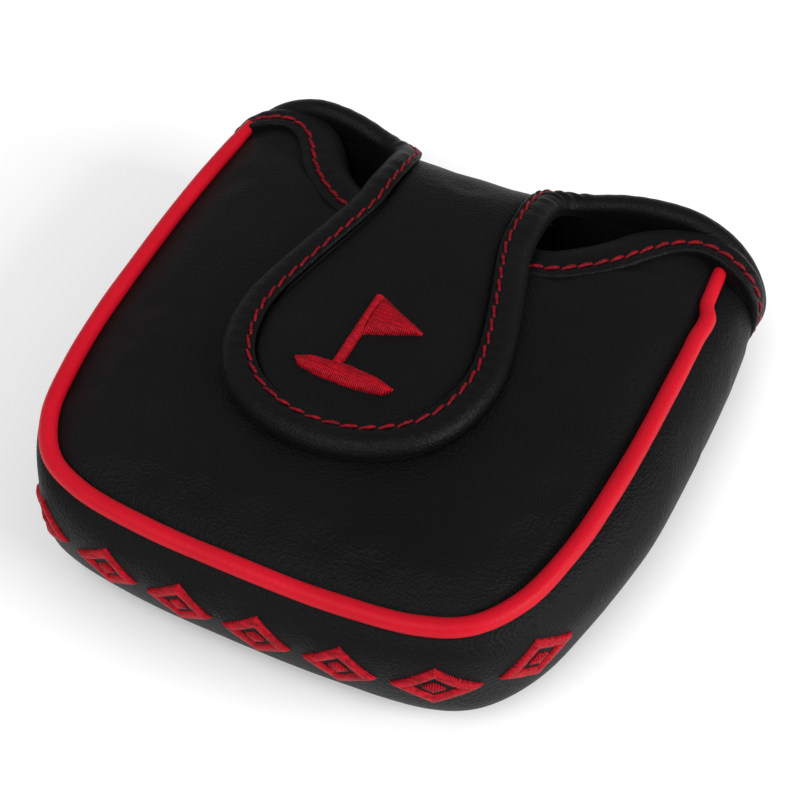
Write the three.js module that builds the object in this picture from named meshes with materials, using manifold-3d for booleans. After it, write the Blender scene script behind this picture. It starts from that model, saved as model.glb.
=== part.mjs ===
// Padded head cover for a square mallet putter, in millimetres.
// Z is up. The origin is on the floor under the middle of the cover's bounding box.
// The front band faces -Y, the mouth and the upright rear wall are at +Y.
// Shapes are drawn from the pouch's own middle, then moved by CENTRE_Y onto the origin.
import * as THREE from 'three';
import Module from 'manifold-3d';

const wasm = await Module();
wasm.setup();

// ---- driving dimensions ----
const GAP = 0.3;                 // clearance between pieces that touch
const CENTRE_Y = 1.5;            // puts the origin under the middle of the whole cover
const RAIL_Z = 28.5;             // height of the piped seam round the top
const PIPING_R = 1.75;           // outside radius of the piping
const CORD_R = 0.85;             // cord inside the piping
const CROWN_Z = 30.5;            // highest point of the padded top
const EDGE_Z = 27.9;             // where the top's leather tucks in beside the piping
const CROWN_POWER = 6;           // how late the padding rolls down towards the seam
const CROWN_CENTRE = [0, -8];    // middle of the top panel in plan
const LEATHER = 1.2;
const FOAM = 2.0;
const LINING = 1.0;
const BULGE_FRONT = 4.8;         // how far the band stands out past the seam, front
const BULGE_SIDE = 8.6;          // and at the two sides
const BOTTOM_INSET = 9.0;        // flat bottom's edge, inside the seam line
const BOTTOM_REAR_Y = 56.0;      // the bottom runs on under the rear wall
const BAND_REAR_Y = 44.0;        // where the band's layers stop, short of the binding
const BINDING_WIDTH = 6.6;       // rolled edge round the mouth
const BINDING_THICK = 5.0;
const WALL_Y = 60.2;               // rear wall's outer face at its fullest
const WALL_NECK_Z = 28.9;          // top of the wall's leather under the fold
const WALL_BINDING_WIDTH = 5.6;
const FLAP_BINDING_WIDTH = 6.2;
const FLAP_FOAM = 1.4;
const FLAP_LINING = 0.8;
const PROUD = 0.45;              // how far a binding stands above its panel
const THREAD_R = 0.45;           // topstitch bead
const STITCH_INSET = 5.3;        // flap topstitch, in from the flap's edge
const STITCH_START = 3.0;         // topstitch starts this far from the fold
const FOLD_CLEAR = 0.6;          // flap's layers start this far from the fold
const MAGNET_R = 7.0;
const MAGNET_V = 70.0;           // flap magnet, distance from the fold along the flap
const EMBLEM_V = 58.4;           // middle of the embroidered emblem along the flap
const EMBROIDERY = 0.8;          // thickness of the satin stitching
const MOTIF_HALF_W = 6.2;
const MOTIF_HALF_H = 4.6;
const MOTIF_DROP = 11.0;         // middle of the motifs, down the band from the seam
const MOTIF_PITCH = 15.6;
const MOTIF_COUNT = 7;
const MOTIF_SHIFT = 6.5;         // the row sits this far towards +X

// Seam line in plan, right half, rear to front: [x, y].
const RAIL = [[56.9, 50], [57, 30], [56.3, 10], [54.6, -14], [52.2, -30], [48.6, -42.4],
  [42.6, -50.6], [34, -54.6], [18, -56.7], [0, -57.2]];

// Band's outer curve, top to bottom: [share of the bulge, extra offset, height].
const BAND = [[0, 0.7, 26.1], [0.6, 0.5, 24.2], [1, 0, 20], [0.98, 0, 15], [0.8, -1, 9],
  [0.55, -2.6, 4.6], [0.3, -5.4, 1.9], [0, -8.4, 0.9]];

// Middle of the mouth binding, right half, floor to centre: [x, y, z, tilt].
// Tilt 0 faces up, 90 faces sideways.
const MOUTH = [[48.6, 46.9, 4.2, 150], [56.2, 47.1, 7.6, 122], [60.4, 47.3, 14.5, 92],
  [60, 47.8, 20.8, 70], [56.4, 47.9, 25.4, 38], [50.4, 48.8, 27.9, 8], [44.4, 47.8, 28.4, 0],
  [38, 44.4, 28.5, 0], [31.4, 39.8, 28.5, 0], [24, 37.3, 28.5, 0], [12, 36.8, 28.5, 0],
  [0, 36.8, 28.5, 0]];

// Flap's outer surface in side view, from the fold to the tip: [y, z].
const FLAP_SIDE = [[52.4, 30.2], [49.7, 33], [45, 35.5], [38, 36.6], [28, 36.3], [14, 35.4],
  [0, 35.1], [-16, 35], [-33, 34.9]];

// Flap's outer edge, right half: [half width, distance from the fold].
const FLAP_EDGE = [[21.5, -1], [20.3, 7], [19.6, 14], [20.3, 21], [22.6, 30], [25.2, 40],
  [27.2, 49], [28, 56], [27.4, 63], [25.6, 69.6], [22.6, 75], [18.4, 79.4], [13, 82.8],
  [6.8, 85], [0, 85.6]];

// Rear wall's outline seen from behind, right half, floor to neck: [x, z].
const WALL_EDGE = [[56, 2.9], [61, 5.4], [64, 10], [64.8, 15], [63.6, 20.4], [60.2, 25.4],
  [54.6, 29], [46, 30.8], [36, 31.3], [27, 30.6], [21, 29.4], [17.4, 28.7]];

// Emblem, a plain golf flag on a mound, one side of the pole then the other: [x, y].
const FLAG = [[-10.5, -9.5], [-9, -11.2], [0, -12.2], [9, -11.2], [10.5, -9.5], [6.5, -7.8],
  [-1.4, -7.2], [-1.4, 1.2], [9.6, 5.9], [-1.4, 11.8], [-3.4, 11.8], [-3.4, -7.3],
  [-7, -8]];

// ---- small geometry kit ----
const spline = (points, count) => {
  const lifted = points.map(p => new THREE.Vector3(p[0], p[1], p[2] ?? 0));
  const curve = new THREE.CatmullRomCurve3(lifted, false, 'centripetal');
  return curve.getSpacedPoints(count - 1);
};

const smooth = (from, to, value) => THREE.MathUtils.smoothstep(value, from, to);

const mirrored = half => {
  const left = half.map(p => [-p[0], ...p.slice(1)]);
  return [...left, ...half.slice(0, -1).reverse()];
};

// A closed body from vertex rows; each triangle list entry is three indices.
function body(points, triangles) {
  const geometry = new THREE.BufferGeometry();
  const flat = points.flatMap(p => [p.x, p.y, p.z]);
  geometry.setAttribute('position', new THREE.Float32BufferAttribute(flat, 3));
  geometry.setIndex(triangles);
  if (volume(geometry) < 0) {
    const index = geometry.getIndex();
    for (let i = 0; i < index.count; i += 3) {
      const swap = index.getX(i);
      index.setX(i, index.getX(i + 1));
      index.setX(i + 1, swap);
    }
  }
  geometry.computeVertexNormals();
  return geometry;
}

function volume(geometry) {
  const at = geometry.getAttribute('position');
  const index = geometry.getIndex();
  const corner = k => new THREE.Vector3().fromBufferAttribute(at, index.getX(k));
  let sum = 0;
  for (let i = 0; i < index.count; i += 3) {
    sum += corner(i).dot(corner(i + 1).cross(corner(i + 2)));
  }
  return sum;
}

// Carry a flat section along a path. frames: {p, side, up}; section(i): [[u, w], ...].
function sweep(frames, section) {
  const points = [];
  const triangles = [];
  let size = 0;
  frames.forEach((frame, i) => {
    const shape = section(i);
    size = shape.length;
    for (const [u, w] of shape) {
      points.push(frame.p.clone().addScaledVector(frame.side, u).addScaledVector(frame.up, w));
    }
  });
  for (let i = 0; i < frames.length - 1; i++) {
    for (let j = 0; j < size; j++) {
      const a = i * size + j;
      const b = i * size + (j + 1) % size;
      triangles.push(a, b, b + size, a, b + size, a + size);
    }
  }
  const cap = (row, flip) => {
    const outline = section(row).map(([u, w]) => new THREE.Vector2(u, w));
    for (const [a, b, c] of THREE.ShapeUtils.triangulateShape(outline, [])) {
      const base = row * size;
      triangles.push(base + a, base + (flip ? c : b), base + (flip ? b : c));
    }
  };
  const clockwise = THREE.ShapeUtils.isClockWise(section(0).map(([u, w]) => new THREE.Vector2(u, w)));
  cap(0, !clockwise);
  cap(frames.length - 1, clockwise);
  return body(points, triangles);
}

// A sheet between two surfaces over a loop that can be seen whole from its centre.
function patch(loop, centre, rings, over, under) {
  const points = [];
  const triangles = [];
  const n = loop.length;
  for (const surface of [over, under]) {
    for (let r = 0; r < rings; r++) {
      const share = 1 - r / rings;
      loop.forEach(([x, y], i) => {
        const px = centre[0] + (x - centre[0]) * share;
        const py = centre[1] + (y - centre[1]) * share;
        points.push(surface(px, py, share, i));
      });
    }
    points.push(surface(centre[0], centre[1], 0, 0));
  }
  const layer = rings * n + 1;
  for (let side = 0; side < 2; side++) {
    const base = side * layer;
    const add = (a, b, c) => triangles.push(base + a, base + (side ? c : b), base + (side ? b : c));
    for (let r = 0; r < rings; r++) {
      for (let i = 0; i < n; i++) {
        const next = (i + 1) % n;
        const a = r * n + i;
        const b = r * n + next;
        if (r === rings - 1) {
          add(a, b, rings * n);
        } else {
          add(a, b, b + n);
          add(a, b + n, a + n);
        }
      }
    }
  }
  for (let i = 0; i < n; i++) {
    const next = (i + 1) % n;
    triangles.push(i, layer + i, layer + next, i, layer + next, next);
  }
  return body(points, triangles);
}

// A sheet between two surfaces over a grid of [a, b] places.
function sheet(rows, over, under) {
  const points = [];
  const triangles = [];
  const m = rows.length;
  const n = rows[0].length;
  for (const surface of [over, under]) {
    rows.forEach(row => row.forEach(([a, b]) => points.push(surface(a, b))));
  }
  const layer = m * n;
  const quad = (a, b, c, d) => triangles.push(a, b, c, a, c, d);
  for (let i = 0; i < m - 1; i++) {
    for (let j = 0; j < n - 1; j++) {
      const a = i * n + j;
      quad(a, a + 1, a + n + 1, a + n);
      quad(layer + a, layer + a + n, layer + a + n + 1, layer + a + 1);
    }
  }
  for (let j = 0; j < n - 1; j++) {
    const last = (m - 1) * n + j;
    quad(j + 1, j, layer + j, layer + j + 1);
    quad(last, last + 1, layer + last + 1, layer + last);
  }
  for (let i = 0; i < m - 1; i++) {
    const a = i * n;
    const b = a + n - 1;
    quad(a, a + n, layer + a + n, layer + a);
    quad(b + n, b, layer + b, layer + b + n);
  }
  return body(points, triangles);
}

// Section of a rolled binding, a rectangle with its corners taken off.
function rolled(width, low, high) {
  const half = width / 2;
  const cut = (high - low) * 0.3;
  return [[half, low + cut], [half, high - cut], [half - cut, high], [-half + cut, high],
    [-half, high - cut], [-half, low + cut], [-half + cut, low], [half - cut, low]];
}

const circle = (radius, sides, u = 0, w = 0) => Array.from({ length: sides }, (_, k) => {
  const angle = (k / sides) * Math.PI * 2;
  return [u + radius * Math.cos(angle), w + radius * Math.sin(angle)];
});

function toManifold(geometry) {
  const at = geometry.getAttribute('position');
  return new wasm.Manifold(new wasm.Mesh({
    numProp: 3,
    vertProperties: Float32Array.from(at.array),
    triVerts: Uint32Array.from(geometry.getIndex().array),
  }));
}

// Drill a round pocket through a sheet for a magnet.
function drilled(geometry, centre, radius) {
  const drill = wasm.Manifold.cylinder(40, radius, radius, 20).translate([centre.x, centre.y, centre.z - 20]);
  const mesh = toManifold(geometry).subtract(drill).getMesh();
  const result = new THREE.BufferGeometry();
  result.setAttribute('position', new THREE.Float32BufferAttribute(Array.from(mesh.vertProperties), 3));
  result.setIndex(Array.from(mesh.triVerts));
  result.computeVertexNormals();
  return result;
}

// ---- the seam line and the band below it ----
function planFrames(points) {
  return points.map((p, i) => {
    const before = points[Math.max(i - 1, 0)];
    const after = points[Math.min(i + 1, points.length - 1)];
    const along = after.clone().sub(before).setZ(0).normalize();
    return { p, side: new THREE.Vector3(along.y, -along.x, 0), up: new THREE.Vector3(0, 0, 1) };
  });
}

const railPoints = spline(mirrored(RAIL).map(([x, y]) => [x, y, 0]), 91);
const railAll = planFrames(railPoints);
const railBand = railAll.filter(frame => frame.p.y < BAND_REAR_Y);
const bandRail = railBand.filter((_, i) => i % 2 === 0 || i === railBand.length - 1);
const pipingRail = railBand.filter((_, i) => i % 2 === 0 || i === railBand.length - 1);

function bulgeAt(y) {
  return BULGE_FRONT + (BULGE_SIDE - BULGE_FRONT) * smooth(-52, -6, y);
}

const BAND_STEPS = 8;
function bandCurve(y, depth) {
  const bulge = bulgeAt(y);
  const outer = spline(BAND.map(([share, extra, z]) => [share * bulge + extra, z]), BAND_STEPS);
  return outer.map((p, i) => {
    const before = outer[Math.max(i - 1, 0)];
    const after = outer[Math.min(i + 1, outer.length - 1)];
    const along = after.clone().sub(before).normalize();
    return [p.x + along.y * depth, p.y - along.x * depth];
  });
}

function bandLayer(depth, thickness) {
  return sweep(bandRail, i => {
    const y = bandRail[i].p.y;
    return [...bandCurve(y, depth), ...bandCurve(y, depth + thickness).reverse()];
  });
}

// A place on the band: distance along the seam, distance down it, height off the leather.
const railLength = railPoints.slice(1).reduce((sum, p, i) => sum + p.distanceTo(railPoints[i]), 0);
function onBand(along, down, lift) {
  const share = (along / railLength) * (railAll.length - 1);
  const i = Math.floor(share);
  const frame = railAll[i];
  const next = railAll[i + 1];
  const p = frame.p.clone().lerp(next.p, share - i);
  const side = frame.side.clone().lerp(next.side, share - i).normalize();
  const curve = bandCurve(p.y, -lift);
  let left = down;
  for (let k = 0; k < curve.length - 1; k++) {
    const [u0, z0] = curve[k];
    const [u1, z1] = curve[k + 1];
    const step = Math.hypot(u1 - u0, z1 - z0);
    if (left <= step || k === curve.length - 2) {
      const t = left / step;
      return p.clone().addScaledVector(side, u0 + (u1 - u0) * t).setZ(z0 + (z1 - z0) * t);
    }
    left -= step;
  }
  return p;
}

// ---- top of the pouch ----
const mouthPoints = spline(mirrored(MOUTH).map(([x, y, z]) => [x, y, z]), 53);
const mouthTilt = (() => {
  const flat = mirrored(MOUTH.map(([x, y, z, tilt]) => [x, y, z, tilt]));
  return point => {
    let best = flat[0];
    let second = flat[1];
    let nearest = Infinity;
    for (let i = 0; i < flat.length - 1; i++) {
      const a = new THREE.Vector3(...flat[i].slice(0, 3));
      const b = new THREE.Vector3(...flat[i + 1].slice(0, 3));
      const near = new THREE.Line3(a, b).closestPointToPoint(point, true, new THREE.Vector3());
      const away = near.distanceTo(point);
      if (away < nearest) {
        nearest = away;
        best = flat[i];
        second = flat[i + 1];
      }
    }
    const a = new THREE.Vector3(...best.slice(0, 3));
    const b = new THREE.Vector3(...second.slice(0, 3));
    const share = new THREE.Line3(a, b).closestPointToPointParameter(point, true);
    return best[3] + (second[3] - best[3]) * share;
  };
})();

const mouthFrames = mouthPoints.map((p, i) => {
  const before = mouthPoints[Math.max(i - 1, 0)];
  const after = mouthPoints[Math.min(i + 1, mouthPoints.length - 1)];
  const along = after.clone().sub(before).normalize();
  const tilt = THREE.MathUtils.degToRad(mouthTilt(p));
  const facing = new THREE.Vector3(Math.sign(p.x) * Math.sin(tilt), 0, Math.cos(tilt));
  const side = new THREE.Vector3().crossVectors(facing, along).normalize();
  const up = new THREE.Vector3().crossVectors(along, side).normalize();
  return { p, side, up };
});

function topLoop(inset) {
  const sides = railAll.filter((frame, i) => i % 2 === 1 && frame.p.y < BAND_REAR_Y - 1);
  const front = sides.map(({ p, side }) => [p.x - side.x * inset, p.y - side.y * inset]);
  const clear = BINDING_WIDTH / 2 + inset - PIPING_R + 2 * GAP;
  const lip = mouthPoints.filter((p, i) => i % 2 === 0 && Math.abs(p.x) < 53 && p.z > 27)
    .map(p => [p.x, p.y - clear])
    .filter(([x, y]) => Math.abs(x) < 52.5 - (inset - PIPING_R) && y > 30);
  return [...front, ...lip.reverse()];
}

const crown = (share, drop, rearLift) => {
  const edge = EDGE_Z + rearLift;
  return CROWN_Z - drop - (CROWN_Z - edge) * share ** CROWN_POWER;
};

function topLayer(inset, from, thickness, rings) {
  const loop = topLoop(inset);
  const lift = loop.map(([x, y]) => 1.6 * smooth(30, 36, y) * (1 - smooth(36, 50, Math.abs(x))));
  const at = drop => (x, y, share, i) => new THREE.Vector3(x, y, crown(share, drop, lift[i]));
  return patch(loop, CROWN_CENTRE, rings, at(from), at(from + thickness));
}

// ---- bottom ----
function bottomLoop(inset, rearY) {
  const sides = railAll.filter((frame, i) => i % 3 === 0 && frame.p.y < BAND_REAR_Y - 4);
  const front = sides.map(({ p, side }) => [p.x - side.x * inset, p.y - side.y * inset]);
  const halfRear = 57 - inset;
  const rear = [[halfRear, rearY - 5], [halfRear - 4, rearY], [halfRear / 3, rearY],
    [-halfRear / 3, rearY], [-halfRear + 4, rearY], [-halfRear, rearY - 5]];
  return [...front, ...rear];
}

function bottomLayer(inset, rearY, low, high) {
  const level = z => (x, y) => new THREE.Vector3(x, y, z);
  return patch(bottomLoop(inset, rearY), [0, 0], 1, level(high), level(low));
}

// ---- rear wall ----
function wallPoint(x, z, depth) {
  const across = Math.abs(x);
  const upright = WALL_Y - (z < 15 ? 0.011 : 0.005) * (z - 15) ** 2;
  const neck = upright - 0.024 * Math.max(z - 14, 0) ** 2;
  const share = smooth(12, 30, across);
  const y = neck + (upright - neck) * share - 1.2 * smooth(40, 65, across);
  return new THREE.Vector3(x, y - depth, z);
}

const WALL_COLUMNS = mirrored([[56.4], [54], [50], [44], [37], [29], [22], [16.4], [14.4], [7], [0]])
  .map(([x]) => x);
function wallRange(x, inset, neck) {
  const across = Math.abs(x);
  const outer = spline(WALL_EDGE, 40);
  const top = outer.filter(p => p.y > 15).sort((a, b) => a.x - b.x);
  const low = outer.filter(p => p.y <= 15).sort((a, b) => a.x - b.x);
  const lookup = (list, value) => {
    const after = list.findIndex(p => p.x >= value);
    if (after < 0) return list[list.length - 1].y;
    if (after === 0) return list[0].y;
    const share = (value - list[after - 1].x) / (list[after].x - list[after - 1].x);
    return THREE.MathUtils.lerp(list[after - 1].y, list[after].y, share);
  };
  const under = lookup(top, across + inset * 0.35) - inset;
  const high = across < 15 ? neck : under;
  const bottom = Math.max(2.3, lookup(low, across + inset * 0.7) + inset * smooth(46, 55, across));
  return [bottom, Math.max(high, bottom + 1.5)];
}

function wallLayer(from, thickness, inset, neck) {
  const rows = [];
  const steps = 6;
  for (let k = 0; k <= steps; k++) {
    rows.push(WALL_COLUMNS.map(x => {
      const [low, high] = wallRange(x, inset, neck);
      return [x, low + (high - low) * (k / steps)];
    }));
  }
  return sheet(rows, (x, z) => wallPoint(x, z, from), (x, z) => wallPoint(x, z, from + thickness));
}

const wallBindingDepth = (LEATHER + FOAM + LINING + 2 * GAP) / 2;
function wallBinding(sign) {
  const inset = WALL_BINDING_WIDTH / 2;
  const outline = spline(WALL_EDGE, 26);
  const middle = outline.map((p, i) => {
    const before = outline[Math.max(i - 1, 0)];
    const after = outline[Math.min(i + 1, outline.length - 1)];
    const along = after.clone().sub(before).normalize();
    return wallPoint(sign * (p.x - along.y * inset), p.y + along.x * inset, wallBindingDepth);
  });
  const frames = middle.map((p, i) => {
    const before = middle[Math.max(i - 1, 0)];
    const after = middle[Math.min(i + 1, middle.length - 1)];
    const along = after.clone().sub(before).normalize();
    const side = new THREE.Vector3().crossVectors(along, new THREE.Vector3(0, 1, 0)).normalize();
    return { p, side, up: new THREE.Vector3().crossVectors(side, along).normalize() };
  });
  const half = wallBindingDepth + GAP;
  return sweep(frames, () => rolled(WALL_BINDING_WIDTH, -half, half));
}

// ---- flap ----
const flapSide = spline(FLAP_SIDE, 120);
const flapStep = flapSide[0].distanceTo(flapSide[1]);
function flapPoint(x, v, depth) {
  const share = THREE.MathUtils.clamp(v / flapStep, 0, flapSide.length - 1.001);
  const i = Math.floor(share);
  const a = flapSide[i];
  const b = flapSide[i + 1];
  const here = a.clone().lerp(b, share - i);
  const along = b.clone().sub(a).normalize();
  return new THREE.Vector3(x, here.x - along.y * depth, here.y + along.x * depth);
}
const flapUp = v => flapPoint(0, v, -1).sub(flapPoint(0, v, 0)).normalize();

function flapLine(inset, count, start) {
  const outline = spline(FLAP_EDGE, 60);
  const right = outline.map((p, i) => {
    const before = outline[Math.max(i - 1, 0)];
    const after = outline[Math.min(i + 1, outline.length - 1)];
    const along = i === outline.length - 1 ? new THREE.Vector3(-1, 0, 0) : after.clone().sub(before).normalize();
    return [p.x - along.y * inset, p.y + along.x * inset];
  }).filter(([x, v], i, all) => v > start && (x > 0.8 || i === all.length - 1));
  return spline(mirrored(right), count);
}

function flapSheet(inset, from, thickness, steps) {
  const line = flapLine(inset, 161, FOLD_CLEAR).filter(p => p.x >= 0);
  const tip = Math.max(...line.map(p => p.y));
  const halfAt = v => {
    const sorted = line.slice().sort((a, b) => a.y - b.y);
    const after = sorted.findIndex(p => p.y >= v);
    if (after <= 0) return sorted[0].x;
    const share = (v - sorted[after - 1].y) / (sorted[after].y - sorted[after - 1].y + 1e-9);
    return THREE.MathUtils.lerp(sorted[after - 1].x, sorted[after].x, share);
  };
  const rows = [];
  for (let k = 0; k <= steps; k++) {
    const v = FOLD_CLEAR + (tip - FOLD_CLEAR - 0.4) * Math.sin((k / steps) * Math.PI / 2) ** 0.9;
    const half = Math.max(halfAt(v), 1);
    rows.push([-1, -0.5, 0, 0.5, 1].map(a => [a * half, v]));
  }
  return sheet(rows, (x, v) => flapPoint(x, v, from), (x, v) => flapPoint(x, v, from + thickness));
}

function flapSweep(inset, count, section, depth, start) {
  const line = flapLine(inset, count, start);
  const middle = line.map(p => flapPoint(p.x, p.y, depth));
  const frames = middle.map((p, i) => {
    const before = middle[Math.max(i - 1, 0)];
    const after = middle[Math.min(i + 1, middle.length - 1)];
    const along = after.clone().sub(before).normalize();
    const side = new THREE.Vector3().crossVectors(flapUp(line[i].y), along).normalize();
    return { p, side, up: new THREE.Vector3().crossVectors(along, side).normalize() };
  });
  return sweep(frames, () => section);
}

const flapThick = LEATHER + FLAP_FOAM + FLAP_LINING + 2 * GAP;

function disc(centre, radius, thickness) {
  const level = z => (x, y) => new THREE.Vector3(x, y, z);
  const loop = circle(radius, 20, centre.x, centre.y);
  return patch(loop, [centre.x, centre.y], 1, level(centre.z + thickness / 2), level(centre.z - thickness / 2));
}

// ---- piping ----
function pipingCover() {
  const open = Math.PI * 0.82;
  const arc = radius => Array.from({ length: 8 }, (_, k) => {
    const angle = -open + (2 * open * k) / 7;
    return [radius * Math.cos(angle), RAIL_Z + radius * Math.sin(angle)];
  });
  const section = [...arc(PIPING_R), ...arc(CORD_R + GAP).reverse()];
  return sweep(pipingRail, () => section);
}

// ---- embroidery ----
function motif(index) {
  const along = railLength / 2 + MOTIF_SHIFT + (index - (MOTIF_COUNT - 1) / 2) * MOTIF_PITCH;
  const loop = Array.from({ length: 16 }, (_, k) => {
    const corner = k / 4;
    const share = corner % 1;
    const c = [[1, 0], [0, 1], [-1, 0], [0, -1], [1, 0]];
    const [a, b] = [c[Math.floor(corner)], c[Math.floor(corner) + 1]];
    return [(a[0] + (b[0] - a[0]) * share) * MOTIF_HALF_W, (a[1] + (b[1] - a[1]) * share) * MOTIF_HALF_H];
  });
  const at = lift => (u, w) => onBand(along + u, MOTIF_DROP + w, lift);
  return patch(loop, [0, 0], 2, at(GAP + EMBROIDERY), at(GAP));
}

function emblem() {
  const outline = FLAG.map(([x, y]) => new THREE.Vector2(x, y));
  const shape = new THREE.Shape(outline);
  const geometry = new THREE.ExtrudeGeometry(shape, { depth: EMBROIDERY, bevelEnabled: false, steps: 1 });
  const at = geometry.getAttribute('position');
  const surface = flapPoint(0, EMBLEM_V, 0);
  for (let i = 0; i < at.count; i++) {
    const v = EMBLEM_V - at.getY(i);
    const p = flapPoint(at.getX(i), v, -(GAP + 0.1 + at.getZ(i)));
    at.setXYZ(i, p.x, surface.y + at.getY(i), p.z);
  }
  geometry.computeVertexNormals();
  return geometry;
}

// ---- materials ----
const cover = (color, roughness) => new THREE.MeshStandardMaterial({ color, roughness, metalness: 0 });
const BLACK_LEATHER = 0x1b1b1d;
const BLACK_PLUSH = 0x121214;
const RED = 0xd3172f;
const FOAM_GREY = 0x8e8f92;
const STEEL = 0x9da1a6;

const group = new THREE.Group();
group.name = 'putter_head_cover';

function add(name, geometry, color, roughness = 0.5) {
  const mesh = new THREE.Mesh(geometry.translate(0, CENTRE_Y, 0), cover(color, roughness));
  mesh.name = name;
  group.add(mesh);
}

// ---- assembly: pouch ----
const foamFrom = LEATHER + GAP;
const liningFrom = foamFrom + FOAM + GAP;

add('bottom_panel', bottomLayer(BOTTOM_INSET, BOTTOM_REAR_Y, 0, LEATHER), BLACK_LEATHER);
add('bottom_foam', bottomLayer(BOTTOM_INSET + 0.6, 50, foamFrom, foamFrom + FOAM), FOAM_GREY, 0.9);
add('bottom_lining', bottomLayer(BOTTOM_INSET + 0.6, 50, liningFrom, liningFrom + LINING), BLACK_PLUSH, 1);

add('side_band', bandLayer(0, LEATHER), BLACK_LEATHER);
add('side_band_foam', bandLayer(foamFrom, FOAM), FOAM_GREY, 0.9);
add('side_band_lining', bandLayer(liningFrom, LINING), BLACK_PLUSH, 1);

const keeperAt = new THREE.Vector3(0, flapPoint(0, MAGNET_V, 0).y, CROWN_Z - foamFrom - FOAM / 2);
add('top_panel', topLayer(PIPING_R + 0.4, 0, LEATHER, 4), BLACK_LEATHER);
add('top_foam', drilled(topLayer(PIPING_R + 2.2, foamFrom, FOAM, 3), keeperAt, MAGNET_R + GAP), FOAM_GREY, 0.9);
add('top_lining', topLayer(PIPING_R + 4, liningFrom, LINING, 3), BLACK_PLUSH, 1);
add('top_magnet', disc(keeperAt, MAGNET_R, FOAM - 0.3), STEEL, 0.35);

add('piping_cover', pipingCover(), RED, 0.45);
add('piping_cord', sweep(pipingRail, () => circle(CORD_R, 6, 0, RAIL_Z)), 0xe8e4dc, 0.9);

const bindingHalf = BINDING_THICK / 2;
add('mouth_binding', sweep(mouthFrames, () => rolled(BINDING_WIDTH, -bindingHalf, bindingHalf)), BLACK_LEATHER);
const mouthStitch = circle(THREAD_R, 6, 0, 0);
add('mouth_topstitch', sweep(mouthFrames.slice(3, -3), () => mouthStitch
  .map(([u, w]) => [u + 1.4, w + bindingHalf + GAP + THREAD_R])), RED, 0.7);

for (let k = 0; k < MOTIF_COUNT; k++) {
  add(`front_motif_${k + 1}`, motif(k), RED, 0.7);
}

// ---- assembly: rear wall ----
const wallInset = WALL_BINDING_WIDTH + 4 * GAP;
const innerNeck = WALL_NECK_Z - LEATHER - GAP;
add('rear_wall_panel', wallLayer(0, LEATHER, wallInset, WALL_NECK_Z), BLACK_LEATHER);
add('rear_wall_foam', wallLayer(foamFrom + GAP / 2, FOAM - GAP, wallInset, innerNeck), FOAM_GREY, 0.9);
add('rear_wall_lining', wallLayer(liningFrom, LINING, wallInset, innerNeck), BLACK_PLUSH, 1);
add('rear_binding_left', wallBinding(-1), BLACK_LEATHER);
add('rear_binding_right', wallBinding(1), BLACK_LEATHER);

// ---- assembly: flap ----
const flapInset = FLAP_BINDING_WIDTH + GAP;
const flapMagnetAt = flapPoint(0, MAGNET_V, foamFrom + FLAP_FOAM / 2);
add('flap_panel', flapSheet(flapInset, 0, LEATHER, 16), BLACK_LEATHER);
add('flap_foam', drilled(flapSheet(flapInset, foamFrom, FLAP_FOAM, 12), flapMagnetAt, MAGNET_R + GAP), FOAM_GREY, 0.9);
add('flap_lining', flapSheet(flapInset, foamFrom + FLAP_FOAM + GAP, FLAP_LINING, 12), BLACK_PLUSH, 1);
add('flap_magnet', disc(flapMagnetAt, MAGNET_R, FLAP_FOAM - 0.2), STEEL, 0.35);
const flapHalf = (flapThick + PROUD) / 2;
add('flap_binding', flapSweep(FLAP_BINDING_WIDTH / 2, 49, rolled(FLAP_BINDING_WIDTH, -flapHalf, flapHalf),
  flapHalf - PROUD, FOLD_CLEAR), BLACK_LEATHER);
add('flap_topstitch', flapSweep(STITCH_INSET, 45, circle(THREAD_R, 6), -(PROUD + GAP + THREAD_R),
  STITCH_START), RED, 0.7);
add('flap_emblem', emblem(), RED, 0.7);

export default group;
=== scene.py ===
"""Padded head cover for a square mallet putter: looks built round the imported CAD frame."""

import math

import bmesh
import bpy
import numpy as np
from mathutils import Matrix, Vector, noise
from mathutils.bvhtree import BVHTree


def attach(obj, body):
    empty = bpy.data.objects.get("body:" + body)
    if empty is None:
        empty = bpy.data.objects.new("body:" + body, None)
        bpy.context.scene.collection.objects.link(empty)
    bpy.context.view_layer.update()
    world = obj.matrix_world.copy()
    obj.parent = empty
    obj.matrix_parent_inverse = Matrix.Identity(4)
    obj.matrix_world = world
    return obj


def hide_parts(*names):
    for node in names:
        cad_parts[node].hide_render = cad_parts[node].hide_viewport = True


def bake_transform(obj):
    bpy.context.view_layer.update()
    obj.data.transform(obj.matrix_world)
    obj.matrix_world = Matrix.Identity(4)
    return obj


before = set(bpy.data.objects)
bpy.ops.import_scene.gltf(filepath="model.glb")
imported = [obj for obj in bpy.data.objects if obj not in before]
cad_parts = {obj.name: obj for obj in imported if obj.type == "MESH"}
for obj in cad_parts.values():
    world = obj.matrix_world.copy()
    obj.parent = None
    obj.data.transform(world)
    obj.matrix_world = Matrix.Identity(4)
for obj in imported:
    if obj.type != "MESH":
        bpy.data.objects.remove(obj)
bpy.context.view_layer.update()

# ---------------------------------------------------------------- dimensions, in millimetres
MM = 0.001
WALL_TOP_Z = 28.5              # where the wall's panel turns into the fold
NECK_Y = 43                    # the flap's neck, in plan
WING_HALF = 60.4               # half width of the wall's panel
SKIN_INSET = 6.4               # the panel's edge, in from the outer edge of the binding
SKIN_DEPTH = 0.8               # how far the panel lies under its binding
LINING_DEPTH = 4.1             # the wall's lining, in from its outer face
SHIFT_Y = 1.5                  # shapes are drawn about the pouch, then moved onto the origin
RAIL_Z = 28.5                  # height of the piped seam
PIPING_R = 1.75
BULGE_FRONT, BULGE_SIDE = 4.8, 8.6
LEATHER = 1.2
FLAP_THICK = 4.0
PITCH = 3.5                    # topstitch pitch
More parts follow.
